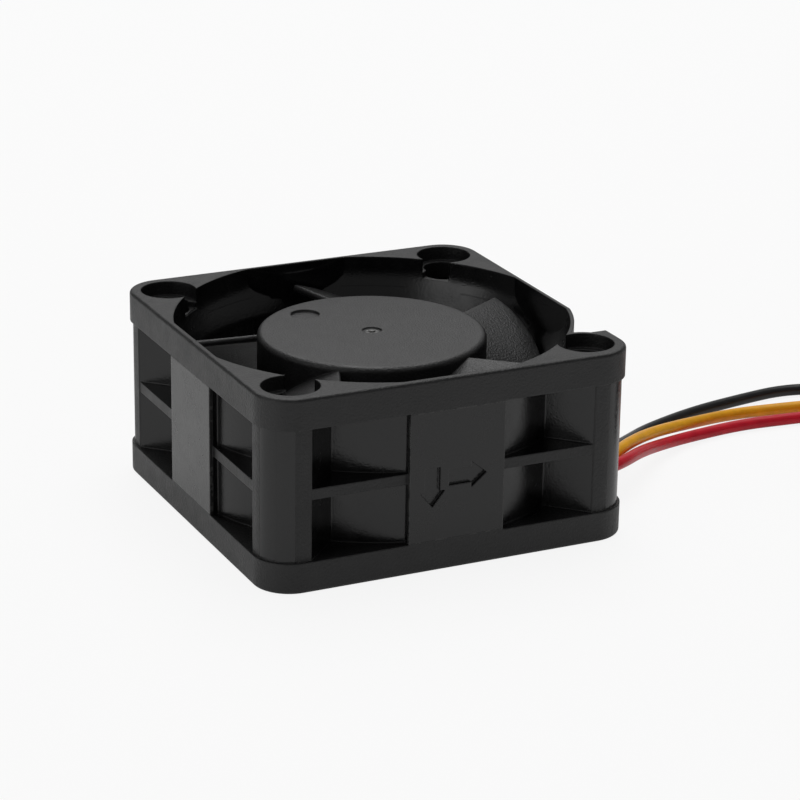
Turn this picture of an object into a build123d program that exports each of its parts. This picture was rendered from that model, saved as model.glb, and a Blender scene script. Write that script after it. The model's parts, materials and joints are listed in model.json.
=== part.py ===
# Small axial fan, 40 x 40 x 20 mm, with a five-blade rotor on two ball bearings and three leads.
# Z runs along the axle towards the air inlet, and X along the side that carries the two arrows.
# The origin is on the axle, in the plane of the outlet face, and every length is in millimetres.
import math
import os

from build123d import *

os.makedirs("parts", exist_ok=True)

# Housing
side = 40.0  # outer width of the square housing
height = 20.0  # from outlet face to inlet face
flange = 3.2  # thickness of each flange
corner_radius = 3.8
edge_round = 0.35  # rounding of the outer edges of both faces
duct_bore = 18.65  # radius of the throat that the blades run in
duct_wall = 1.15
mouth_radius = 20.2  # radius of the bell mouth at the inlet face
mouth_depth = 4.0
mouth_rim = 0.6  # what is left of the rim where the mouth meets each side
outlet_flare = 0.5
post_setback = 0.3  # corner posts stand this far inside the flanges
post_half_width = 3.05
rib_thickness = 1.1
rib_setback = 0.4
panel_width = 10.3

# Mounting holes
hole_pitch = 32.0
hole_radius = 2.15
counterbore_radius = 2.9
counterbore_depth = 1.5
slot_width = 2.9  # slot from each counterbore into the mouth
slot_depth = 2.15

# Notch for the leads in the inlet flange
notch_from = -13.4
notch_to = -5.5
notch_ring = 3.3  # flange kept round the mounting hole
notch_wall = 0.4  # wall kept round the mouth

# Arrows moulded into one side: shaft half width, head half width, head length and depth
arrow_shaft = 0.82
arrow_head = 1.36
arrow_tip = 1.65
arrow_length = 4.1
arrow_depth = 0.35
flow_arrow_x = -2.65  # arrow along the air flow: its centre line, and the height of its tail
flow_arrow_top = 10.9
turn_arrow_x = -0.9  # arrow of rotation: where its tail starts, and the height of its centre line
turn_arrow_z = 9.64

# Motor base and its struts
base_radius = 12.1
base_floor = 1.6
base_rim_top = 4.0
base_rim_wall = 1.2
board_seat = 2.4  # height of the ledge that carries the circuit board
ledge_width = 1.8
plate_recess = 0.3  # shallow round recess in the outlet side of the base
plate_recess_radius = 10.6
socket_radius = 4.4  # boss that holds the bearing tube
socket_top = 5.0
strut_count = 4
strut_width = 1.7
strut_height = 3.0
lead_angle = -26.0  # direction in which the leads leave, in degrees
lead_strut_width = 5.4
lead_strut_top = 4.2
lead_channel_width = 4.3
lead_window_top = 4.9

# Bearings: two of 2 x 5 x 2.3 mm
shaft_radius = 1.0
bearing_radius = 2.5
bearing_width = 2.3
inner_ring_radius = 1.42
outer_ring_bore = 2.08
ball_radius = 0.38
ball_count = 7
groove_clearance = 0.02
lower_bearing_z = 3.6
upper_bearing_z = 11.6

# Bearing tube
tube_radius = 3.4
tube_bottom = 1.2
tube_top = 14.2
tube_shoulder = 2.15

# Rotor
hub_radius = 11.75
hub_top = 18.45
hub_bottom = 5.0
hub_round = 0.6
hub_wall = 1.05
yoke_wall = 0.5
yoke_bottom = 5.2
yoke_top = 17.1
magnet_wall = 1.4
magnet_bottom = 5.4
magnet_top = 13.4
bush_radius = 2.2
bush_flange = 3.2
bush_flange_thickness = 0.5
bush_bottom = 14.5
shaft_bottom = 2.3
clip_z = 3.0
clip_thickness = 0.3
clip_radius = 1.9
clip_groove = 0.2
spring_thickness = 0.3
spring_radius = 1.9

# Marks on the hub
gate_radius = 1.0
gate_depth = 0.15
gate_stub = 0.35
pin_mark_radius = 1.5
pin_mark_depth = 0.25
pin_mark_distance = 8.5
pin_mark_angle = 119.8

# Blades
blade_count = 5
tip_clearance = 0.25
blade_axis = -12.0  # direction of the first blade's own axis, in degrees
blade_top = 17.9
blade_bottom = 6.2
blade_nose = 0.75  # thickness at the leading edge
blade_belly = 0.95
blade_tail = 0.5
blade_bend_along = 0.22  # where the control point of the camber curve lies, along the chord
blade_bend_up = 0.80  # and up the height
blade_lead = (4.87, 10.69, 0.948)  # leading edge: across at a distance out, and slope
blade_trail = (-6.49, 9.80, 0.085)
blade_sections = (8.5, 12.0, 15.5, 19.0)  # distances out from the axle

# Stator
core_bottom = 6.6
core_top = 10.6
air_gap = 0.35
pole_count = 4
pole_width = 1.7
pole_shoe = 0.9
pole_span = 70.0
core_ring = 1.2
insulator_thickness = 0.6
coil_build = 1.1
coil_gap = 0.35  # between a coil and the pole shoe or the ring

# Circuit board
board_thickness = 0.8
board_gap = 0.05
board_hole_gap = 0.2
chip_bevel = 0.12
chips = {  # direction and distance from the axle, then length outwards, width and height
    "driver_chip": (150.0, 7.6, 3.0, 3.0, 0.9),
    "hall_sensor": (90.0, 8.9, 1.6, 2.9, 1.1),
    "capacitor": (200.0, 7.4, 2.0, 1.2, 1.2),
    "diode": (232.0, 7.6, 1.4, 2.6, 1.0),
}
resistor = (1.0, 0.5, 0.35)
resistor_places = ((120, 6.2), (176, 9.4), (265, 6.4), (290, 8.6))  # direction and distance
pin_radius = 0.25
pin_distance = 5.6

# Leads
lead_radius = 0.65
lead_gap = 0.1  # between leads side by side
lead_lift = 0.05
lead_inset = 1.4  # from the edge of the board to the end of each lead
lead_leaves = 20.4  # distance out at which the leads leave the straight of their channel
corner_share = 0.45  # part of a run that the arc at its end may take up
joint_base = 0.6  # solder cones at the ends of the leads
joint_tip = 0.35
joint_height = 0.7
joint_offset = 0.75

# Plug at the end of the leads
plug_pitch = 2.54
plug_length = 11.5
plug_width = 7.9
plug_height = 4.8
plug_place = (58.0, -17.0)  # middle of its rear face on the floor
plug_bevel = 0.35
plug_nose = 1.2  # wall in front of the chambers
chamber_width = 1.9
chamber_height = 2.4
contact_window = 0.8
contact_length = 8.5
contact_width = 1.7
contact_height = 2.1
contact_inset = 0.3
contact_bore = (6.8, 1.1, 1.4)

# Coil that the spare length of the leads is wound into
coil_place = (66.5, -5.5)
coil_inner = 4.3
coil_outer = 10.1
coil_height = 5.7
coil_bevel = 1.2

# Routes of the leads: lane in the channel, then corner points from the fan to the coil
routes = {
    "red_wire": (-1, [
        (21.0, -11.7, 3.95), (24.4, -10.2, 3.9), (28.6, -6.3, 2.95), (33.4, -2.0, 1.45),
        (39.0, 0.7, 0.7), (46.2, 1.75, 0.66), (51.5, 1.3, 0.66), (59.0, 0.6, 0.66),
    ]),
    "yellow_wire": (0, [
        (22.4, -9.8, 3.9), (26.6, -6.4, 4.05), (32.8, -1.4, 2.85), (40.5, 2.8, 1.4),
        (47.0, 5.0, 0.7), (53.0, 4.5, 0.66), (60.6, 2.8, 0.66),
    ]),
    "black_wire": (1, [
        (23.0, -7.2, 3.88), (26.8, -3.9, 2.8), (31.0, 0.2, 1.7), (35.6, 4.1, 0.9),
        (43.4, 7.4, 0.66), (50.5, 8.8, 0.66), (57.0, 9.7, 0.66), (62.6, 7.6, 0.66), (65.6, 4.6, 0.66),
    ]),
}
# Middle corner points from the coil to the plug, with the spread of the leads at each
tail_points = (((64.6, -14.3, 4.0), 1.4), ((61.6, -15.6, 3.1), 2.0))

duct_outer = duct_bore + duct_wall
mid_height = height / 2
tip_radius = duct_bore - tip_clearance
yoke_radius = hub_radius - hub_wall
magnet_radius = yoke_radius - yoke_wall
magnet_bore = magnet_radius - magnet_wall
core_radius = magnet_bore - air_gap
board_top = board_seat + board_thickness
board_radius = base_radius - base_rim_wall - board_gap
lead_floor = board_top
lead_z = lead_floor + lead_radius + lead_lift
plug_entry_z = plug_height / 2
lead_pitch = 2 * lead_radius + lead_gap


def keep(piece, label):
    """Labels a finished piece and writes its STEP file."""
    piece.part.label = label
    export_step(piece.part, f"parts/{label}.step")


def outward(angle):
    """A vertical plane square to the direction at this angle, through the axle."""
    direction = (math.cos(math.radians(angle)), math.sin(math.radians(angle)), 0)
    across = (-direction[1], direction[0], 0)
    return Plane(origin=(0, 0, 0), x_dir=across, z_dir=direction)


# The free space inside the duct: outlet flare, throat and the squared bell mouth of the inlet
with BuildPart() as duct_space:
    with BuildSketch(Plane.XZ):
        with BuildLine():
            Polyline(
                (0, height), (0, 0), (duct_bore + outlet_flare, 0),
                (duct_bore, outlet_flare), (duct_bore, height - mouth_depth),
            )
            TangentArc((duct_bore, height - mouth_depth), (mouth_radius, height), tangent=(0, 1))
            Line((mouth_radius, height), (0, height))
        make_face()
    revolve(axis=Axis.Z)
    with BuildSketch():
        Rectangle(side - 2 * mouth_rim, side - 2 * mouth_rim)
    extrude(amount=height, mode=Mode.INTERSECT)

# Housing: two flanges, duct, side panels, corner posts, mid rib, struts and motor base
with BuildPart() as housing:
    for level in (0, height - flange):
        with BuildSketch(Plane.XY.offset(level)):
            RectangleRounded(side, side, corner_radius)
        extrude(amount=flange)
    outer_edges = housing.edges().filter_by_position(Axis.Z, height, height)
    outer_edges += housing.edges().filter_by_position(Axis.Z, 0, 0)
    fillet(outer_edges, edge_round)

    with BuildSketch(Plane.XY.offset(flange)):
        Circle(duct_outer)
        Rectangle(panel_width, side)
        Rectangle(side, panel_width)
    extrude(amount=height - 2 * flange)
    with BuildSketch(Plane.XY.offset(flange)):
        RectangleRounded(side - 2 * post_setback, side - 2 * post_setback, corner_radius - post_setback)
        with BuildSketch(mode=Mode.INTERSECT):
            for turn in (45, 135):
                Rectangle(2 * side, 2 * post_half_width, rotation=turn)
    extrude(amount=height - 2 * flange)
    with BuildSketch(Plane.XY.offset(mid_height - rib_thickness / 2)):
        RectangleRounded(side - 2 * rib_setback, side - 2 * rib_setback, corner_radius - rib_setback)
    extrude(amount=rib_thickness)
    add(duct_space.part, mode=Mode.SUBTRACT)

    # Motor base: floor, ledge for the board, rim and socket for the bearing tube
    with BuildSketch():
        Circle(base_radius)
    extrude(amount=base_floor)
    with BuildSketch(Plane.XY.offset(base_floor)):
        Circle(base_radius)
        Circle(base_radius - ledge_width, mode=Mode.SUBTRACT)
    extrude(amount=board_seat - base_floor)
    with BuildSketch(Plane.XY.offset(board_seat)):
        Circle(base_radius)
        Circle(base_radius - base_rim_wall, mode=Mode.SUBTRACT)
    extrude(amount=base_rim_top - board_seat)
    with BuildSketch(Plane.XY.offset(base_floor)):
        Circle(socket_radius)
    extrude(amount=socket_top - base_floor)

    # Struts, the wide one with the channel for the leads
    strut_reach = (base_radius + duct_bore) / 2
    strut_long = duct_bore - base_radius + duct_wall + base_rim_wall / 2
    for number in range(strut_count):
        wide = number == 0
        with BuildSketch(Plane.XY):
            with Locations(Rotation(0, 0, lead_angle + 360 / strut_count * number)):
                with Locations((strut_reach, 0)):
                    Rectangle(strut_long, lead_strut_width if wide else strut_width)
        extrude(amount=lead_strut_top if wide else strut_height)
    with BuildSketch(Plane.XY.offset(lead_floor)):
        with Locations(Rotation(0, 0, lead_angle)):
            with Locations((board_radius - ledge_width + side / 2, 0)):
                Rectangle(side, lead_channel_width)
    extrude(amount=lead_window_top - lead_floor, mode=Mode.SUBTRACT)

    # Seats of the bearing tube and its cap, and the shallow recess under the base
    with BuildSketch():
        Circle(tube_radius)
    extrude(amount=socket_top, mode=Mode.SUBTRACT)
    with BuildSketch():
        Circle(plate_recess_radius)
    extrude(amount=plate_recess, mode=Mode.SUBTRACT)

    # Mounting holes, counterbored from the inlet side
    with BuildSketch():
        with GridLocations(hole_pitch, hole_pitch, 2, 2):
            Circle(hole_radius)
    extrude(amount=height, mode=Mode.SUBTRACT)
    with BuildSketch(Plane.XY.offset(height - counterbore_depth)):
        with GridLocations(hole_pitch, hole_pitch, 2, 2):
            Circle(counterbore_radius)
    extrude(amount=counterbore_depth, mode=Mode.SUBTRACT)

    # Slots that open the counterbores into the mouth
    with BuildSketch(Plane.XY.offset(height - slot_depth)):
        for turn in (45, 135):
            Rectangle(hole_pitch * math.sqrt(2), slot_width, rotation=turn)
        Circle(duct_bore, mode=Mode.SUBTRACT)
    extrude(amount=slot_depth, mode=Mode.SUBTRACT)

    # Notch for the leads in the inlet flange, between the mouth and one mounting hole
    with BuildSketch(Plane.XY.offset(height - flange)):
        with Locations((side / 2, (notch_from + notch_to) / 2)):
            Rectangle(side / 2, notch_to - notch_from)
        Circle(mouth_radius + notch_wall, mode=Mode.SUBTRACT)
        with Locations((hole_pitch / 2, -hole_pitch / 2)):
            Circle(notch_ring, mode=Mode.SUBTRACT)
    extrude(amount=flange, mode=Mode.SUBTRACT)

    # Arrows for the air flow and the rotation, sunk into the panel of one side
    for tail, turn in (((flow_arrow_x, flow_arrow_top), -90), ((turn_arrow_x, turn_arrow_z), 0)):
        with BuildSketch(Plane(origin=(0, -side / 2, 0), x_dir=(1, 0, 0), z_dir=(0, -1, 0))):
            with Locations(Location(tail, turn)):
                Polygon(
                    (0, -arrow_shaft), (arrow_length - arrow_tip, -arrow_shaft),
                    (arrow_length - arrow_tip, -arrow_head), (arrow_length, 0),
                    (arrow_length - arrow_tip, arrow_head), (arrow_length - arrow_tip, arrow_shaft),
                    (0, arrow_shaft), align=None,
                )
        extrude(amount=-arrow_depth, mode=Mode.SUBTRACT)
keep(housing, "fan_housing")

# Impeller: the moulded hub, and blades lofted through four sections and trimmed to the duct
belly_across = blade_belly * 0.75
belly_down = blade_belly * 0.65
blade_rise = blade_bottom + blade_bend_up * (blade_top - blade_bottom)

with BuildPart() as blade:
    for out in blade_sections:
        lead = blade_lead[0] + blade_lead[2] * (out - blade_lead[1])
        trail = blade_trail[0] + blade_trail[2] * (out - blade_trail[1])
        bend = trail + blade_bend_along * (lead - trail)
        with BuildSketch(Plane(origin=(out, 0, 0), x_dir=(0, 1, 0), z_dir=(1, 0, 0))):
            with BuildLine():
                Bezier((trail, blade_bottom), (bend, blade_rise), (lead, blade_top))
                ThreePointArc(
                    (lead, blade_top),
                    (lead + blade_nose * 0.5, blade_top - blade_nose * 0.45),
                    (lead + blade_nose * 0.15, blade_top - blade_nose),
                )
                Bezier(
                    (lead + blade_nose * 0.15, blade_top - blade_nose),
                    (bend + belly_across, blade_rise - belly_down),
                    (trail + blade_tail, blade_bottom),
                )
                Line((trail + blade_tail, blade_bottom), (trail, blade_bottom))
            make_face()
    loft()
    with BuildSketch():
        Circle(tip_radius)
        Circle(hub_radius - hub_wall / 2, mode=Mode.SUBTRACT)
    extrude(amount=height, mode=Mode.INTERSECT)

with BuildPart() as impeller:
    with BuildSketch(Plane.XZ):
        with Locations((0, hub_bottom)):
            Rectangle(hub_radius, hub_top - hub_bottom, align=(Align.MIN, Align.MIN))
    revolve(axis=Axis.Z)
    fillet(impeller.edges().group_by(Axis.Z)[-1], hub_round)
    with BuildSketch(Plane.XY.offset(hub_bottom)):
        Circle(yoke_radius)
    extrude(amount=yoke_top - hub_bottom, mode=Mode.SUBTRACT)
    with PolarLocations(0, blade_count, start_angle=blade_axis):
        add(blade.part)
    with BuildSketch(Plane.XY.offset(hub_top - gate_depth)):
        Circle(gate_radius)
        Circle(gate_stub, mode=Mode.SUBTRACT)
    extrude(amount=gate_depth, mode=Mode.SUBTRACT)
    with BuildSketch(Plane.XY.offset(hub_top - pin_mark_depth)):
        with PolarLocations(pin_mark_distance, 1, start_angle=pin_mark_angle):
            Circle(pin_mark_radius)
    extrude(amount=pin_mark_depth, mode=Mode.SUBTRACT)
keep(impeller, "impeller")

# Steel yoke inside the hub, and the ring magnet inside the yoke
with BuildPart() as yoke:
    with BuildSketch(Plane.XY.offset(yoke_bottom)):
        Circle(yoke_radius)
    extrude(amount=yoke_top - yoke_bottom)
    with BuildSketch(Plane.XY.offset(yoke_bottom)):
        Circle(magnet_radius)
    extrude(amount=yoke_top - yoke_wall - yoke_bottom, mode=Mode.SUBTRACT)
    with BuildSketch(Plane.XY.offset(yoke_bottom)):
        Circle(bush_radius)
    extrude(amount=yoke_top - yoke_bottom, mode=Mode.SUBTRACT)
keep(yoke, "rotor_yoke")

with BuildPart() as magnet:
    with BuildSketch(Plane.XY.offset(magnet_bottom)):
        Circle(magnet_radius)
        Circle(magnet_bore, mode=Mode.SUBTRACT)
    extrude(amount=magnet_top - magnet_bottom)
keep(magnet, "ring_magnet")

# Brass bush that holds the shaft in the yoke
with BuildPart() as bush:
    with BuildSketch(Plane.XY.offset(bush_bottom)):
        Circle(bush_radius)
    extrude(amount=yoke_top - bush_bottom)
    with BuildSketch(Plane.XY.offset(yoke_top - yoke_wall - bush_flange_thickness)):
        Circle(bush_flange)
    extrude(amount=bush_flange_thickness)
    with BuildSketch(Plane.XY.offset(bush_bottom)):
        Circle(shaft_radius)
    extrude(amount=yoke_top - bush_bottom, mode=Mode.SUBTRACT)
keep(bush, "shaft_bush")

# Shaft with a groove for its retaining clip
with BuildPart() as shaft:
    with BuildSketch(Plane.XY.offset(shaft_bottom)):
        Circle(shaft_radius)
    extrude(amount=yoke_top - shaft_bottom)
    chamfer(shaft.edges().group_by(Axis.Z)[0], clip_groove / 2)
    with BuildSketch(Plane.XY.offset(clip_z)):
        Circle(shaft_radius)
        Circle(shaft_radius - clip_groove, mode=Mode.SUBTRACT)
    extrude(amount=clip_thickness, mode=Mode.SUBTRACT)
keep(shaft, "shaft")

with BuildPart() as clip:
    with BuildSketch(Plane.XY.offset(clip_z)):
        Circle(clip_radius)
        Circle(shaft_radius - clip_groove, mode=Mode.SUBTRACT)
        with Locations((clip_radius, 0)):
            Rectangle(2 * clip_radius, shaft_radius, mode=Mode.SUBTRACT)
    extrude(amount=clip_thickness)
keep(clip, "retaining_clip")

# Preload washer between the upper bearing and the bush
with BuildPart() as spring:
    with BuildSketch(Plane.XY.offset(bush_bottom - spring_thickness)):
        Circle(spring_radius)
        Circle(shaft_radius, mode=Mode.SUBTRACT)
    extrude(amount=spring_thickness)
keep(spring, "preload_washer")


def bearing(name, level):
    """Makes the outer ring, inner ring and balls of one bearing that starts at this height."""
    middle = level + bearing_width / 2
    ball_track = (inner_ring_radius + outer_ring_bore) / 2
    for ring, inside, outside in (
        ("outer_ring", outer_ring_bore, bearing_radius),
        ("inner_ring", shaft_radius, inner_ring_radius),
    ):
        with BuildPart() as race:
            with BuildSketch(Plane.XZ):
                with Locations(((inside + outside) / 2, middle)):
                    Rectangle(outside - inside, bearing_width)
                with Locations((ball_track, middle)):
                    Circle(ball_radius + groove_clearance, mode=Mode.SUBTRACT)
            revolve(axis=Axis.Z)
        keep(race, f"{name}_{ring}")
    with BuildPart() as balls:
        with Locations((0, 0, middle)):
            with PolarLocations(ball_track, ball_count):
                Sphere(ball_radius)
    keep(balls, f"{name}_balls")


bearing("lower_bearing", lower_bearing_z)
bearing("upper_bearing", upper_bearing_z)

# Bearing tube: both bearings seat against the shoulder between them
with BuildPart() as tube:
    with BuildSketch(Plane.XY.offset(tube_bottom)):
        Circle(tube_radius)
        Circle(bearing_radius, mode=Mode.SUBTRACT)
    extrude(amount=tube_top - tube_bottom)
    with BuildSketch(Plane.XY.offset(lower_bearing_z + bearing_width)):
        Circle(bearing_radius)
        Circle(tube_shoulder, mode=Mode.SUBTRACT)
    extrude(amount=upper_bearing_z - lower_bearing_z - bearing_width)
keep(tube, "bearing_tube")

with BuildPart() as cap:
    with BuildSketch(Plane.XY.offset(plate_recess)):
        Circle(tube_radius)
    extrude(amount=tube_bottom - plate_recess)
keep(cap, "bearing_cap")


def core_outline():
    """Draws the outline of the laminations: ring, arms and pole shoes."""
    Circle(tube_radius + core_ring)
    with PolarLocations(0, pole_count, start_angle=45):
        with Locations((core_radius / 2, 0)):
            Rectangle(core_radius - pole_shoe / 2, pole_width)
    Circle(tube_radius, mode=Mode.SUBTRACT)


with BuildPart() as core:
    with BuildSketch(Plane.XY.offset(core_bottom)):
        core_outline()
    extrude(amount=core_top - core_bottom)
    with BuildSketch(Plane.XY.offset(core_bottom)):
        Circle(core_radius)
        Circle(core_radius - pole_shoe, mode=Mode.SUBTRACT)
        for number in range(pole_count):
            with Locations(Rotation(0, 0, number * 360 / pole_count)):
                with Locations((core_radius, 0)):
                    Rectangle(
                        core_radius,
                        2 * core_radius * math.sin(math.radians(90 / pole_count * 2 - pole_span / 2)),
                        mode=Mode.SUBTRACT,
                    )
    extrude(amount=core_top - core_bottom)
keep(core, "stator_core")

for label, level in (
    ("lower_insulator", core_bottom - insulator_thickness),
    ("upper_insulator", core_top),
):
    with BuildPart() as insulator:
        with BuildSketch(Plane.XY.offset(level)):
            core_outline()
        extrude(amount=insulator_thickness)
    keep(insulator, label)

# Four coils, each wound round its own arm and the insulators on it
coil_from = tube_radius + core_ring + coil_gap
coil_to = core_radius - pole_shoe - coil_gap
winding_bottom = core_bottom - insulator_thickness
winding_top = core_top + insulator_thickness
for number in range(pole_count):
    with BuildPart() as winding:
        with BuildSketch(outward(45 + number * 360 / pole_count).offset(coil_from)):
            with Locations((0, (winding_bottom + winding_top) / 2)):
                RectangleRounded(
                    pole_width + 2 * coil_build,
                    winding_top - winding_bottom + 2 * coil_build,
                    coil_build * 0.8,
                )
                Rectangle(pole_width, winding_top - winding_bottom, mode=Mode.SUBTRACT)
        extrude(amount=coil_to - coil_from)
    keep(winding, f"coil_{number + 1}")

# Circuit board on its ledge, and what is soldered to it
with BuildPart() as board:
    with BuildSketch(Plane.XY.offset(board_seat)):
        Circle(board_radius)
        Circle(socket_radius + board_hole_gap, mode=Mode.SUBTRACT)
    extrude(amount=board_thickness)
keep(board, "circuit_board")

for label, (angle, distance, along, across, tall) in chips.items():
    with BuildPart() as chip:
        with BuildSketch(Plane.XY.offset(board_top)):
            with Locations(Rotation(0, 0, angle)):
                with Locations((distance, 0)):
                    Rectangle(along, across)
        extrude(amount=tall)
        chamfer(chip.edges().group_by(Axis.Z)[-1], chip_bevel)
    keep(chip, label)

with BuildPart() as resistors:
    for angle, distance in resistor_places:
        with Locations(Rotation(0, 0, angle)):
            with Locations((distance, 0, board_top)):
                Box(*resistor, align=(Align.CENTER, Align.CENTER, Align.MIN))
keep(resistors, "resistors")

with BuildPart() as pins:
    with BuildSketch(Plane.XY.offset(board_top)):
        with PolarLocations(pin_distance, pole_count, start_angle=45):
            Circle(pin_radius)
    extrude(amount=winding_bottom - coil_build - board_top)
keep(pins, "winding_pins")

# Leads: each one from the board to the coil, and from the coil to the plug
along_lead = (math.cos(math.radians(lead_angle)), math.sin(math.radians(lead_angle)))
lead_start = board_radius - lead_inset


def beside(distance, lane):
    """The place of a lead in its channel at this distance from the axle, in lane -1, 0 or 1."""
    x = along_lead[0] * distance - along_lead[1] * lane * lead_pitch
    y = along_lead[1] * distance + along_lead[0] * lane * lead_pitch
    return (x, y, lead_z)


def radii_of(points):
    """The largest arc at each corner that leaves a little of both runs straight."""
    radii = []
    for before, at, after in zip(points, points[1:], points[2:]):
        arriving, leaving = Vector(*at) - Vector(*before), Vector(*after) - Vector(*at)
        turn = arriving.get_angle(leaving)
        shorter = min(arriving.length, leaving.length)
        radii.append(corner_share * shorter / math.tan(math.radians(turn / 2)))
    return radii


def lead_tube(points):
    """Adds one straight-and-arc tube to the part that is being built, and prints its radii."""
    radii = radii_of(points)
    print("lead radii", [round(r, 1) for r in radii])
    with BuildLine() as path:
        FilletPolyline(*points, radius=radii)
    first = Vector(*points[1]) - Vector(*points[0])
    with BuildSketch(Plane(origin=points[0], z_dir=first)) as section:
        Circle(lead_radius)
    sweep(section.sketch, path=path.wires()[0])
    return lead_radius**2 * math.pi * path.wires()[0].length


for label, (lane, visible) in routes.items():
    rear_y = plug_place[1] + lane * plug_pitch
    with BuildPart() as lead:
        expected = lead_tube([beside(lead_start, lane), beside(lead_leaves, lane), *visible])
        tail = [(x, y + lane * spread, z) for (x, y, z), spread in tail_points]
        tail.append((plug_place[0], rear_y, plug_entry_z))
        expected += lead_tube(tail)
    print(label, "volume", round(lead.part.volume, 2), "section times length", round(expected, 2))
    keep(lead, label)

with BuildPart() as solder:
    for lane in (-1, 0, 1):
        x, y, _ = beside(lead_start - joint_offset, lane)
        with Locations((x, y, board_top)):
            Cone(joint_base, joint_tip, joint_height, align=(Align.CENTER, Align.CENTER, Align.MIN))
keep(solder, "solder_joints")

with BuildPart() as bundle:
    with BuildSketch():
        with Locations(coil_place):
            Circle(coil_outer)
            Circle(coil_inner, mode=Mode.SUBTRACT)
    extrude(amount=coil_height)
    chamfer(bundle.edges(), coil_bevel)
keep(bundle, "wire_coil")

# Plug: housing with three chambers, and the crimped contacts in them
with BuildPart() as plug:
    with BuildSketch():
        with Locations((plug_place[0] - plug_length / 2, plug_place[1])):
            Rectangle(plug_length, plug_width)
    extrude(amount=plug_height)
    chamfer(plug.edges().filter_by(Axis.X), plug_bevel)
    with BuildSketch(Plane(origin=(*plug_place, 0), x_dir=(0, 1, 0), z_dir=(1, 0, 0))):
        with Locations((0, plug_entry_z)):
            with GridLocations(plug_pitch, 1, 3, 1):
                Rectangle(chamber_width, chamber_height)
    extrude(amount=-plug_length + plug_nose, mode=Mode.SUBTRACT)
    with BuildSketch(Plane(origin=(*plug_place, 0), x_dir=(0, 1, 0), z_dir=(1, 0, 0))):
        with Locations((0, plug_entry_z)):
            with GridLocations(plug_pitch, 1, 3, 1):
                Rectangle(contact_window, contact_window)
    extrude(amount=-plug_length, mode=Mode.SUBTRACT)
keep(plug, "plug_housing")

contact_middle = plug_place[0] - contact_inset - contact_length / 2
with BuildPart() as contacts:
    for lane in (-1, 0, 1):
        with Locations((contact_middle, plug_place[1] + lane * plug_pitch, plug_entry_z)):
            Box(contact_length, contact_width, contact_height)
            with Locations((-(contact_length - contact_bore[0]) / 2 - contact_inset / 2, 0, 0)):
                Box(*contact_bore, mode=Mode.SUBTRACT)
keep(contacts, "plug_contacts")
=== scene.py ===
import json
import math
import bmesh
import bpy
from mathutils import Matrix, Vector


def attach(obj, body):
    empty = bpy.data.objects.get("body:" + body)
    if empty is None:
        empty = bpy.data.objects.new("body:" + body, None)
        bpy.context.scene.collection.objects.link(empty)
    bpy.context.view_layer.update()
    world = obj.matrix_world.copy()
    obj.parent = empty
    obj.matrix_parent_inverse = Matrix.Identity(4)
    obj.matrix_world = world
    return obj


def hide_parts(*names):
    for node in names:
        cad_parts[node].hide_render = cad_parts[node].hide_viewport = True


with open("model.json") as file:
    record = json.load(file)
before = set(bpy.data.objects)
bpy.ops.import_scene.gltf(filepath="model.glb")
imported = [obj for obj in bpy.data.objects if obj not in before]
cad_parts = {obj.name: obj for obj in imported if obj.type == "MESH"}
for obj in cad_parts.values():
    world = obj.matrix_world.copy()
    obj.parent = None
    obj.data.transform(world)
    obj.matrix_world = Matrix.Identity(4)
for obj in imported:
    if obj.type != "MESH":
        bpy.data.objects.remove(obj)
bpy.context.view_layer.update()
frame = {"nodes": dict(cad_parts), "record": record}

# camera as fitted to the photograph: degrees and metres
cameraFit = {"azimuth": -25.736, "elevation": 20.088, "roll": 0.893, "distance": 0.30396,
             "target": (0.003995, 0.001433, 0.009772), "lens": 131.3, "sensor": 36.0}


def placeCamera(fit):
    az, el, roll = (math.radians(fit[k]) for k in ("azimuth", "elevation", "roll"))
    back = Vector((math.sin(az) * math.cos(el), -math.cos(az) * math.cos(el), math.sin(el)))
    right = Vector((math.cos(az), math.sin(az), 0))
    up = back.cross(right)
    tiltedRight = right * math.cos(roll) + up * math.sin(roll)
    tiltedUp = up * math.cos(roll) - right * math.sin(roll)
    data = bpy.data.cameras.new("camera")
    data.lens, data.sensor_width = fit["lens"], fit["sensor"]
    data.clip_start, data.clip_end = 0.01, 20
    camera = bpy.data.objects.new("camera", data)
    bpy.context.collection.objects.link(camera)
    place = Vector(fit["target"]) + back * fit["distance"]
    turned = Matrix((tiltedRight, tiltedUp, back)).transposed()
    camera.matrix_world = Matrix.Translation(place) @ turned.to_4x4()
    bpy.context.scene.camera = camera


placeCamera(cameraFit)
print("camera placed")


# arithmetic on a socket adds the Math node for it
class Field:
    def __init__(self, finish, socket):
        self.finish, self.socket = finish, socket

    def maths(self, operation, first, second):
        return self.finish.add("Math", {"operation": operation}, {0: first, 1: second})

    def __add__(self, other):
        return self.maths("ADD", self, other)

    def __radd__(self, other):
        return self.maths("ADD", other, self)

    def __sub__(self, other):
        return self.maths("SUBTRACT", self, other)

    def __rsub__(self, other):
        return self.maths("SUBTRACT", other, self)

    def __mul__(self, other):
        return self.maths("MULTIPLY", self, other)

    def __gt__(self, other):
        return self.maths("GREATER_THAN", self, other)

    def __lt__(self, other):
        return self.maths("LESS_THAN", self, other)


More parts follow.
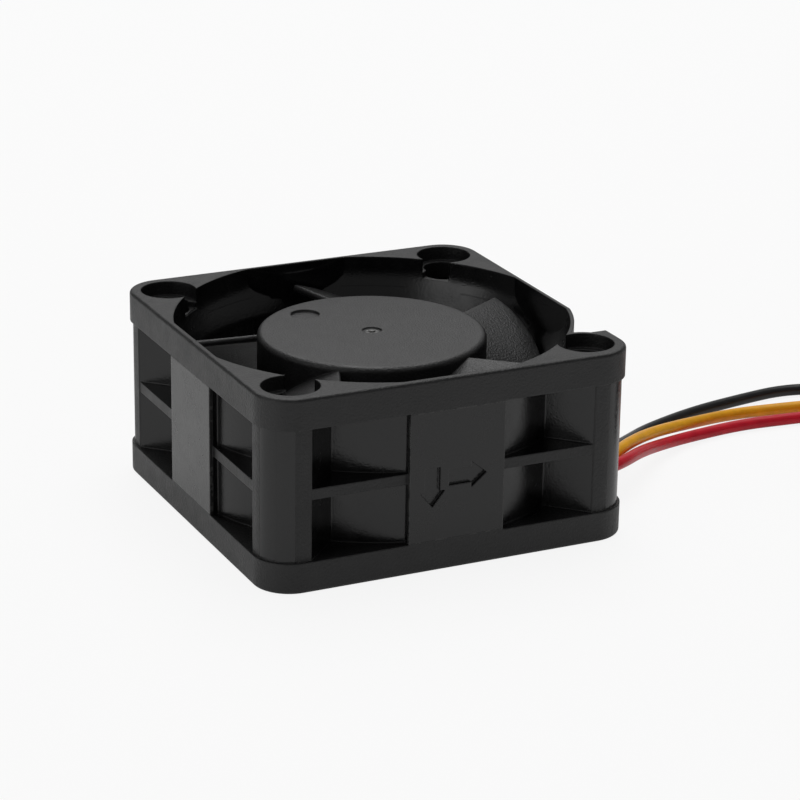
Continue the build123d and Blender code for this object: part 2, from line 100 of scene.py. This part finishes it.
class Finish:
    def __init__(self, name):
        self.material = bpy.data.materials.new(name)
        self.material.use_nodes = True
        self.tree = self.material.node_tree
        self.shader = self.tree.nodes["Principled BSDF"]

    # any node: its type, its own settings, then what goes into its sockets
    def add(self, kind, settings=None, values=None, out=0):
        node = self.tree.nodes.new("ShaderNode" + kind)
        for key, value in (settings or {}).items():
            setattr(node, key, value)
        for key, value in (values or {}).items():
            self.feed(node.inputs[key], value)
        return Field(self, node.outputs[out])

    def feed(self, socket, value):
        if isinstance(value, Field):
            self.tree.links.new(value.socket, socket)
        else:
            socket.default_value = value

    def surface(self, **values):
        for key, value in values.items():
            self.feed(self.shader.inputs[key.replace("_", " ")], value)

    def place(self):
        return self.add("TexCoord", out="Object")

    def axes(self):
        split = self.add("SeparateXYZ", {}, {0: self.place()})
        sockets = split.socket.node.outputs
        return [Field(self, sockets[k]) for k in range(3)]

    def noise(self, perMetre, detail=2.0, rough=0.5):
        return self.add("TexNoise", {}, {"Vector": self.place(), "Scale": perMetre,
                                         "Detail": detail, "Roughness": rough})

    def absolute(self, value):
        return self.add("Math", {"operation": "ABSOLUTE"}, {0: value})

    def larger(self, first, second):
        return self.add("Math", {"operation": "MAXIMUM"}, {0: first, 1: second})

    def blendColours(self, amount, low, high):
        mix = self.add("Mix", {"data_type": "RGBA"}, {0: amount})
        node = mix.socket.node
        self.feed(node.inputs[6], low)
        self.feed(node.inputs[7], high)
        return Field(self, node.outputs[2])

    def spread(self, value, low, high):
        return self.add("MapRange", {"clamp": True}, {0: value, 1: low, 2: high, 3: 0.0, 4: 1.0})

    def bump(self, height, depth, strength=1.0, normal=None):
        values = {"Height": height, "Distance": depth, "Strength": strength}
        if normal is not None:
            values["Normal"] = normal
        return self.add("Bump", {}, values)

    # one place per Voronoi cell, so that a whole cell gets one random value
    def cellPlace(self, perMetre):
        return self.add("TexVoronoi", {}, {"Vector": self.place(), "Scale": perMetre, "Randomness": 1.0},
                        out="Position")

    def roundedEdges(self, radius):
        return self.add("Bevel", {"samples": 6}, {"Radius": radius})


def colour(*rgb):
    return (*rgb, 1.0)


def dress(node, material):
    mesh = frame["nodes"][node].data
    mesh.materials.clear()
    mesh.materials.append(material)


slots = {part["node"]: part["material_slot"] for part in frame["record"]["subparts"]}
print("finishes ready to mix")

# black moulding compound: grained outer faces; smoother mouth, duct, pockets and panels (metres)
housingLook = {
    "dark": (0.0018, 0.0018, 0.0020), "light": (0.0050, 0.0050, 0.0052),
    "outerRough": 0.46, "innerRough": 0.22, "mottleRough": 0.22, "grainRough": 0.12,
    "grain": 4200, "fine": 9000, "mottle": 520, "flow": 90, "grainDepth": 0.00006, "innerGrain": 0.3,
    "edge": 0.0002,
    "dust": 900, "dustSize": 0.07, "dustRare": 0.96, "dustStrength": 0.6, "dustAndGlintTint": (0.05, 0.05, 0.048),
    "seam": 0.00009, "seamDepth": 0.00006, "seamFrom": 0.0245,
    # flash lines: moulding flash painted lighter as a glint along the flange and panel edges
    "flashGlintWidth": 0.00006, "flashGlintFrom": 0.01965, "flashGlintBreaks": 650, "flashGlintStrength": 0.7,
    "wall": 0.0196, "face": 0.0201, "panel": 0.00515, "panelSmooth": 0.9, "mouth": 0.0203,
    "flange": 0.0033, "height": 0.02, "footRim": 0.0001, "topRim": 0.00003,
}


def betweenFlanges(look, z):
    return (z > look["flange"]) * (z < look["height"] - look["flange"])


# 1 on the faces that the outer texture of the mould doesn't reach: mouth, duct and pockets; panels nearly so
def innerFaces(f, look, axes):
    x, y, z = axes
    x2, y2 = x * x, y * y
    reach, between = f.larger(x2, y2), betweenFlanges(look, z)
    within = reach < look["wall"] ** 2
    nearMiddle = f.larger(0 - x2, 0 - y2) > -look["panel"] ** 2
    panels = nearMiddle * (reach < look["face"] ** 2) * between * look["panelSmooth"]
    duct = within * (x2 + y2 < look["mouth"] ** 2)
    duct = duct * (z > look["footRim"]) * (z < look["height"] - look["topRim"])
    return f.larger(f.larger(within * between, duct), panels)


# where the halves of the mould meet on the corner posts: a fine line down the middle of each
def mouldSeams(f, look, axes):
    x, y, z = axes
    side = f.absolute(f.absolute(x) - f.absolute(y)) < look["seam"]
    outside = x * x + y * y > look["seamFrom"] ** 2
    return side * outside * betweenFlanges(look, z)


# flash where the slides of the mould close, lightened into a painted glint: fine broken light lines along the
# flanges and beside the panels
def flashAndGlintLines(f, look, axes):
    x, y, z = axes
    x2, y2, wide = x * x, y * y, look["flashGlintWidth"]
    low, high = look["flange"], look["height"] - look["flange"]
    levels = f.larger(f.absolute(z - low) < wide, f.absolute(z - high) < wide)
    fromPanel = f.absolute(f.larger(0 - x2, 0 - y2) + look["panel"] ** 2)
    uprights = (fromPanel < 2 * look["panel"] * wide) * betweenFlanges(look, z)
    outside = f.larger(x2, y2) > look["flashGlintFrom"] ** 2
    return f.larger(levels, uprights) * outside * (f.noise(look["flashGlintBreaks"], 3.0, 0.7) > 0.5)


def dustSpecks(f, look):
    cells = f.add("TexVoronoi", {}, {"Vector": f.place(), "Scale": look["dust"], "Randomness": 1.0})
    picked = f.add("TexWhiteNoise", {"noise_dimensions": "3D"}, {"Vector": f.cellPlace(look["dust"])})
    return (cells < look["dustSize"]) * (picked > look["dustRare"]) * look["dustStrength"]


# pale, torn plastic where the gate of the mould broke off the hub
def tornGate(f, look):
    x, y, z = f.axes()
    return (x * x + y * y < look["gate"] ** 2) * (f.noise(look["tear"], 3.0, 0.7) > look["tearShare"])


def mouldedPlastic(name, look):
    f = Finish(name)
    mottle, flow = f.noise(look["mottle"], 4.0, 0.6), f.noise(look["flow"])
    grain, fine = f.noise(look["grain"]), f.noise(look["fine"])
    tone = f.spread(mottle * 0.6 + flow * 0.4, 0.35, 0.65)
    black = f.blendColours(tone, colour(*look["dark"]), colour(*look["light"]))
    rough, relief = look["outerRough"], grain + fine * 0.5
    dustAndGlint, shape = dustSpecks(f, look), f.roundedEdges(look["edge"])
    if "gate" not in look:
        axes = f.axes()
        inner = innerFaces(f, look, axes)
        rough = look["outerRough"] + inner * (look["innerRough"] - look["outerRough"])
        relief = relief * (1 - inner * (1 - look["innerGrain"]))
        shape = f.bump(mouldSeams(f, look, axes), look["seamDepth"], 1.0, shape)
        # the flash lines join the dust in the base colour as a painted glint along the edges; the pale tint
        # serves both
        dustAndGlint = f.larger(dustAndGlint, flashAndGlintLines(f, look, axes) * look["flashGlintStrength"])
    tint = f.blendColours(dustAndGlint, black, colour(*look["dustAndGlintTint"]))
    if "gate" in look:
        tint = f.blendColours(tornGate(f, look), tint, colour(*look["gateTint"]))
    f.surface(Base_Color=tint)
    f.surface(Roughness=rough + (mottle - 0.5) * look["mottleRough"] + (grain - 0.5) * look["grainRough"])
    f.surface(Normal=f.bump(relief, look["grainDepth"], 1.0, shape), IOR=1.5)
    return f.material


rotorLook = dict(housingLook, dark=(0.0042, 0.0042, 0.0044), light=(0.011, 0.011, 0.0114),
                 outerRough=0.42, grain=4600, edge=0.00025, mottle=340,
                 gate=0.00068, tear=2400, tearShare=0.47, gateTint=(0.17, 0.17, 0.165))
housing = mouldedPlastic("housingPlastic", housingLook)
for node in ("fan_housing", "bearing_cap"):
    dress(node, housing)
dress("impeller", mouldedPlastic("rotorPlastic", rotorLook))


def pick(*pieces):
    bpy.ops.object.select_all(action="DESELECT")
    for piece in pieces:
        piece.select_set(True)
    bpy.context.view_layer.objects.active = pieces[0]


# goes into edit mode with only the faces that pass the test selected
def selectFaces(piece, test):
    bpy.ops.object.mode_set(mode="EDIT")
    bpy.ops.mesh.select_mode(type="FACE")
    bpy.ops.mesh.select_all(action="DESELECT")
    bpy.ops.object.mode_set(mode="OBJECT")
    for face in piece.data.polygons:
        face.select = test(face)
    bpy.ops.object.mode_set(mode="EDIT")


def combine(piece, tool, operation):
    cut = piece.modifiers.new(operation.lower(), "BOOLEAN")
    cut.operation, cut.object, cut.solver = operation, tool, "EXACT"
    pick(piece)
    bpy.ops.object.modifier_apply(modifier=cut.name)
    bpy.data.objects.remove(tool)


# the mouth goes straight down before it turns in to the throat: radius and height of each ring
mouthLook = {"start": (0.0186, 0.0144),
             "rings": ((0.01895, 0.01515), (0.01945, 0.0162), (0.01995, 0.0173), (0.02017, 0.0180),
                       (0.020215, 0.0188), (0.020215, 0.0208)),
             "square": 0.03879, "foot": 0.0006, "sides": 256, "merge": 0.000001,
             "smooth": 32, "crease": 9, "wall": {"reach": 0.0195, "radius": 0.0187, "height": 0.0145}}


# the flat cuts and the round wall meet in a crease that is too shallow for the smoothing angle
def markCreases(piece, look):
    wall = look["wall"]

    def onWall(place):
        reach = max(abs(place.x), abs(place.y))
        return reach < wall["reach"] and place.xy.length > wall["radius"] and place.z > wall["height"]

    work = bmesh.new()
    work.from_mesh(piece.data)
    for edge in work.edges:
        if len(edge.link_faces) == 2 and all(onWall(v.co) for v in edge.verts):
            turn = [math.atan2(face.normal.y, face.normal.x) for face in edge.link_faces]
            apart = abs((turn[0] - turn[1] + math.pi) % (2 * math.pi) - math.pi)
            if apart > math.radians(look["crease"]):
                edge.smooth = False
    work.to_mesh(piece.data)
    work.free()


def mouthCutter(look):
    radius, low = look["start"]
    pick(frame["nodes"]["fan_housing"])
    bpy.ops.mesh.primitive_cylinder_add(vertices=look["sides"], radius=radius, depth=look["foot"],
                                        location=(0, 0, low - look["foot"] / 2))
    cutter = bpy.context.active_object
    pick(cutter)
    bpy.ops.object.transform_apply(location=True, rotation=True, scale=True)
    selectFaces(cutter, lambda face: face.normal.z > 0.9)
    level = low
    for wider, higher in look["rings"]:
        bpy.ops.mesh.extrude_region_move(TRANSFORM_OT_translate={"value": (0, 0, higher - level)})
        share = wider / radius
        bpy.ops.transform.resize(value=(share, share, 1), center_override=(0, 0, higher))
        radius, level = wider, higher
    bpy.ops.object.mode_set(mode="OBJECT")
    bpy.ops.mesh.primitive_cube_add(size=look["square"], location=(0, 0, low))
    block = bpy.context.active_object
    pick(block)
    bpy.ops.object.transform_apply(location=True, rotation=True, scale=True)
    combine(cutter, block, "INTERSECT")
    return cutter


def housingBody(look):
    piece = bpy.data.objects.new("housingBody", frame["nodes"]["fan_housing"].data.copy())
    bpy.context.collection.objects.link(piece)
    pick(piece)
    bpy.ops.object.mode_set(mode="EDIT")
    bpy.ops.mesh.select_all(action="SELECT")
    bpy.ops.mesh.remove_doubles(threshold=look["merge"])
    bpy.ops.object.mode_set(mode="OBJECT")
    bpy.ops.mesh.customdata_custom_splitnormals_clear()
    combine(piece, mouthCutter(look), "DIFFERENCE")
    pick(piece)
    bpy.ops.object.shade_smooth_by_angle(angle=math.radians(look["smooth"]))
    markCreases(piece, look)
    even = piece.modifiers.new("even", "WEIGHTED_NORMAL")
    even.keep_sharp = True
    pick(piece)
    bpy.ops.object.modifier_apply(modifier=even.name)
    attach(piece, "stator")
    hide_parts("fan_housing")
    piece.data.materials.clear()
    piece.data.materials.append(housing)
    return piece


def plainFinish(name, tint, rough, metal=0.0, grain=3000, depth=0.00002, vary=0.12):
    f = Finish(name)
    speck = f.noise(grain, 3.0, 0.6)
    broad = f.noise(grain / 9, 2.0, 0.5)
    low = colour(*(c * (1 - vary) for c in tint))
    high = colour(*(min(1.0, c * (1 + vary)) for c in tint))
    f.surface(Base_Color=f.blendColours(f.spread(broad, 0.3, 0.7), low, high))
    f.surface(Roughness=rough + (speck - 0.5) * 0.2, Metallic=metal)
    f.surface(Normal=f.bump(speck, depth, 0.5, f.roundedEdges(0.0001)))
    return f.material


# fine rings round the axle, as a lathe or grinder leaves them
def turnedMetal(name, tint, rough):
    f = Finish(name)
    x, y, z = f.axes()
    out = f.add("Math", {"operation": "SQRT"}, {0: x * x + y * y})
    rings = f.add("Math", {"operation": "SINE"}, {0: (out + z) * 60000})
    smear = f.noise(1500, 2.0, 0.5)
    f.surface(Base_Color=f.blendColours(smear, colour(*(c * 0.85 for c in tint)), colour(*tint)))
    f.surface(Roughness=rough + smear * 0.12, Metallic=1.0)
    f.surface(Normal=f.bump(rings, 0.000004, 0.4, f.roundedEdges(0.00008)))
    return f.material


def windingWire(name, tint):
    f = Finish(name)
    turnsAndGrooveShade = f.add("TexWave", {"wave_type": "BANDS", "bands_direction": "DIAGONAL"},
                  {"Vector": f.place(), "Scale": 2600, "Distortion": 0.4, "Detail": 1.0})
    # the darker half of each band is painted shade in the grooves between turns; the same bands shape the bump
    f.surface(Base_Color=f.blendColours(turnsAndGrooveShade, colour(*(c * 0.35 for c in tint)), colour(*tint)))
    f.surface(Roughness=0.28 + turnsAndGrooveShade * 0.1, Metallic=0.85)
    f.surface(Normal=f.bump(turnsAndGrooveShade, 0.00008, 0.8, f.roundedEdges(0.0002)))
    return f.material


def boardMask(name):
    f = Finish(name)
    tracks = f.add("TexVoronoi", {"feature": "DISTANCE_TO_EDGE"},
                   {"Vector": f.place(), "Scale": 420, "Randomness": 0.55})
    copper = f.spread(tracks, 0.16, 0.2)
    weave = f.noise(5200, 2.0, 0.5)
    f.surface(Base_Color=f.blendColours(copper, colour(0.010, 0.075, 0.028), colour(0.018, 0.15, 0.05)))
    f.surface(Roughness=0.3 + weave * 0.1)
    f.surface(Normal=f.bump(copper + weave * 0.15, 0.00003, 0.7, f.roundedEdges(0.0001)))
    return f.material


finishes = {
    "yoke_steel": plainFinish("yokeSteel", (0.42, 0.42, 0.43), 0.38, 1.0),
    "magnet": plainFinish("bondedFerrite", (0.055, 0.052, 0.05), 0.6),
    "brass": turnedMetal("turnedBrass", (0.68, 0.5, 0.2), 0.24),
    "bearing_steel": turnedMetal("bearingSteel", (0.62, 0.62, 0.64), 0.2),
    "clip_plastic": plainFinish("clipNylon", (0.78, 0.78, 0.72), 0.4),
    "core_steel": plainFinish("laminations", (0.36, 0.36, 0.38), 0.45, 1.0, 5200),
    "insulator_plastic": plainFinish("insulatorNylon", (0.72, 0.7, 0.64), 0.45),
    "magnet_wire": windingWire("enamelledWire", (0.62, 0.24, 0.07)),
    "board": boardMask("solderMask"),
    "chip_plastic": plainFinish("mouldingCompound", (0.022, 0.022, 0.023), 0.5, 0.0, 6000),
    "capacitor_ceramic": plainFinish("ceramic", (0.45, 0.33, 0.2), 0.4),
    "solder": plainFinish("solder", (0.7, 0.7, 0.68), 0.25, 1.0, 1800),
    "plug_plastic": plainFinish("plugNylon", (0.016, 0.016, 0.017), 0.42, 0.0, 3800, 0.00004),
}
for node, slot in slots.items():
    if slot in finishes:
        dress(node, finishes[slot])
print("CAD nodes dressed")
body = housingBody(mouthLook)
print("housing mouth shaped,", len(body.data.polygons), "faces")

# leads: routes repeat the corner points of the CAD source, in millimetres
leadLook = {
    "radius": 0.00065, "angle": -26.0, "pitch": 1.4, "start": 9.45, "leaves": 20.4, "exit": 21.4, "level": 3.9,
    "routes": {
        "red": (-1, [(21.0, -11.7, 3.95), (24.4, -10.2, 3.9), (28.6, -6.3, 2.95), (33.4, -2.0, 1.45),
                     (39.0, 0.7, 0.7), (46.2, 1.75, 0.66), (51.5, 1.3, 0.66), (59.0, 0.6, 0.66)]),
        "yellow": (0, [(22.4, -9.8, 3.9), (26.6, -6.4, 4.05), (32.8, -1.4, 2.85), (40.5, 2.8, 1.4),
                       (47.0, 5.0, 0.7), (53.0, 4.5, 0.66), (60.6, 2.8, 0.9)]),
        "black": (1, [(23.0, -7.2, 3.88), (26.8, -3.9, 2.8), (31.0, 0.2, 1.7), (35.6, 4.1, 0.9),
                      (43.4, 7.4, 0.66), (50.5, 8.8, 0.66), (57.0, 9.7, 0.66), (62.6, 7.6, 0.66),
                      (65.6, 4.6, 0.7)]),
    },
    "tails": (((64.6, -14.3, 4.0), 1.4), ((61.6, -15.6, 3.1), 2.0)),
    "plug": (58.0, -17.0, 2.4), "plugPitch": 2.54, "plugEnds": (1.2, -1.0),
    "tints": {"red": (0.66, 0.009, 0.028), "yellow": (0.94, 0.44, 0.008), "black": (0.012, 0.012, 0.013)},
}
# loose ring that the leads' spare length lies in, the three twisted round each other
coilLook = {"middle": (66.5, -5.5), "outer": 8.6, "inner": 5.7, "low": 1.42, "high": 4.24,
            "twist": 0.77, "twists": 4.5, "turned": 885, "step": 14,
            "inward": (300, 60), "outward": (690, 70), "climb": (600, 90),
            "phases": {"red": 210, "yellow": 90, "black": -30},
            "joins": {"red": 8, "yellow": 8, "black": 22}}


def ease(amount):
    amount = min(1.0, max(0.0, amount))
    return amount * amount * (3 - 2 * amount)


def coilPoint(turned, lead):
    c = coilLook
    inward, outward, climb = (ease((turned - c[k][0]) / c[k][1]) for k in ("inward", "outward", "climb"))
    radius = c["outer"] + (c["inner"] - c["outer"]) * (inward - outward)
    level = c["low"] + (c["high"] - c["low"]) * climb
    phase = math.radians(c["phases"][lead] + 360 * c["twists"] * turned / c["turned"])
    radius += c["twist"] * math.cos(phase)
    level += c["twist"] * math.sin(phase)
    at = math.radians(90 - turned)
    return (c["middle"][0] + radius * math.cos(at), c["middle"][1] + radius * math.sin(at), level)


def beside(distance, lane):
    a, aside = math.radians(leadLook["angle"]), lane * leadLook["pitch"]
    return (math.cos(a) * distance - math.sin(a) * aside, math.sin(a) * distance + math.cos(a) * aside,
            leadLook["level"])


def leadPoints(lead):
    lane, visible = leadLook["routes"][lead]
    points = [beside(leadLook["start"], lane), beside(leadLook["leaves"], lane), *visible]
    turned = coilLook["joins"][lead]
    while turned < coilLook["turned"]:
        points.append(coilPoint(turned, lead))
        turned += coilLook["step"]
    points.append(coilPoint(coilLook["turned"], lead))
    points += [(x, y + lane * spread, z) for (x, y, z), spread in leadLook["tails"]]
    x, y, z = leadLook["plug"]
    return points + [(x + end, y + lane * leadLook["plugPitch"], z) for end in leadLook["plugEnds"]]


def leadInsulation(name, tint, gloss):
    f = Finish(name)
    smear = f.noise(700, 3.0, 0.5)
    fine = f.noise(6500, 2.0, 0.5)
    f.surface(Base_Color=f.blendColours(f.spread(smear, 0.3, 0.7), colour(*(c * 0.86 for c in tint)),
                                        colour(*(min(1, c * 1.06) for c in tint))))
    f.surface(Roughness=gloss + (smear - 0.5) * 0.18, Specular_IOR_Level=0.3)
    f.surface(Normal=f.bump(fine * 0.4 + smear * 0.6, 0.00005, 0.4))
    return f.material


def layLead(lead):
    curve = bpy.data.curves.new(lead + "Lead", "CURVE")
    curve.dimensions = "3D"
    spline = curve.splines.new("NURBS")
    points = leadPoints(lead)
    spline.points.add(len(points) - 1)
    for point, place in zip(spline.points, points):
        point.co = (*(v / 1000 for v in place), 1)
    spline.order_u = 3
    spline.use_endpoint_u = True
    curve.resolution_u = 8
    curve.bevel_depth = leadLook["radius"]
    curve.bevel_resolution = 5
    curve.use_fill_caps = True
    piece = bpy.data.objects.new(lead + "Lead", curve)
    bpy.context.collection.objects.link(piece)
    curve.materials.append(leadInsulation(lead + "Insulation", leadLook["tints"][lead], 0.33))
    return piece


leads = {lead: layLead(lead) for lead in leadLook["routes"]}


def centreLength(piece):
    copy = piece.data.copy()
    copy.bevel_depth = 0
    probe = bpy.data.objects.new("probe", copy)
    bpy.context.collection.objects.link(probe)
    mesh = bpy.data.meshes.new_from_object(probe)
    places = [v.co.copy() for v in mesh.vertices]
    bpy.data.objects.remove(probe)
    bpy.data.curves.remove(copy)
    bpy.data.meshes.remove(mesh)
    return sum((b - a).length for a, b in zip(places, places[1:]))


for lead, piece in leads.items():
    lane = leadLook["routes"][lead][0]
    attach(piece, "stator")
    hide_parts(lead + "_wire", "wire_coil")
    leaves = tuple(v / 1000 for v in beside(leadLook["exit"], lane))
    print(lead, "lead", round(centreLength(piece) * 1000, 1), "mm")
print("leads laid")

# studio: pale floor, white surroundings, soft lamps
studio = {
    "floorSize": 6.0, "floorLevel": -0.00002, "floorTone": 0.82, "floorSeen": 0.88, "floorMirrored": 0.42,
    "world": 0.19,
    "lamps": {
        "overhead": {"at": (0.12, 0.20, 0.83), "size": 0.75, "watts": 4.2},
        "backPanel": {"at": (0.38, 0.80, 0.36), "size": 0.85, "watts": 0.55},
        "leftWindow": {"at": (-0.70, -0.15, 0.20), "size": 0.5, "watts": 0.9},
        "backHigh": {"at": (0.22, 0.62, 0.66), "size": 0.45, "watts": 0.9},
    },
}


def buildFloor():
    bpy.ops.object.select_all(action="DESELECT")
    bpy.ops.mesh.primitive_plane_add(size=studio["floorSize"], location=(0, 0, studio["floorLevel"]))
    floor = bpy.context.active_object
    floor.name = "floor"
    f = Finish("paleFloor")
    f.surface(Base_Color=colour(*[studio["floorTone"]] * 3), Roughness=0.9)
    seen = f.add("LightPath", out="Is Camera Ray")
    mirrored = f.add("LightPath", out="Is Glossy Ray")
    white = f.add("Emission", {}, {"Color": colour(1, 1, 1), "Strength": 1.0})
    both = f.add("MixShader", {}, {0: seen * studio["floorSeen"] + mirrored * studio["floorMirrored"]})
    node = both.socket.node
    f.tree.links.new(f.shader.outputs[0], node.inputs[1])
    f.tree.links.new(white.socket, node.inputs[2])
    # from below, the floor is open, so that the underside can be seen
    clear = f.add("MixShader", {}, {0: f.add("NewGeometry", out="Backfacing")})
    f.tree.links.new(both.socket, clear.socket.node.inputs[1])
    f.tree.links.new(f.add("BsdfTransparent").socket, clear.socket.node.inputs[2])
    f.tree.links.new(clear.socket, f.tree.nodes["Material Output"].inputs["Surface"])
    floor.data.materials.append(f.material)


def lightWorld():
    world = bpy.data.worlds.new("studioWorld")
    world.use_nodes = True
    tree = world.node_tree
    tree.nodes.clear()
    out = tree.nodes.new("ShaderNodeOutputWorld")
    soft, white = tree.nodes.new("ShaderNodeBackground"), tree.nodes.new("ShaderNodeBackground")
    soft.inputs["Color"].default_value, soft.inputs["Strength"].default_value = colour(1, 1, 1), studio["world"]
    white.inputs["Color"].default_value, white.inputs["Strength"].default_value = colour(1, 1, 1), 1.0
    path, mix = tree.nodes.new("ShaderNodeLightPath"), tree.nodes.new("ShaderNodeMixShader")
    tree.links.new(path.outputs["Is Camera Ray"], mix.inputs[0])
    tree.links.new(soft.outputs[0], mix.inputs[1])
    tree.links.new(white.outputs[0], mix.inputs[2])
    tree.links.new(mix.outputs[0], out.inputs[0])
    bpy.context.scene.world = world


def hangLamps():
    for name, lamp in studio["lamps"].items():
        data = bpy.data.lights.new(name, "AREA")
        data.shape, data.size, data.energy = "SQUARE", lamp["size"], lamp["watts"]
        holder = bpy.data.objects.new(name, data)
        holder.location = lamp["at"]
        aim = Vector((0, 0, 0.01)) - Vector(lamp["at"])
        holder.rotation_euler = aim.to_track_quat("-Z", "Y").to_euler()
        bpy.context.collection.objects.link(holder)


buildFloor()
lightWorld()
hangLamps()
bpy.context.scene.view_settings.view_transform = "Standard"
print("studio lit")
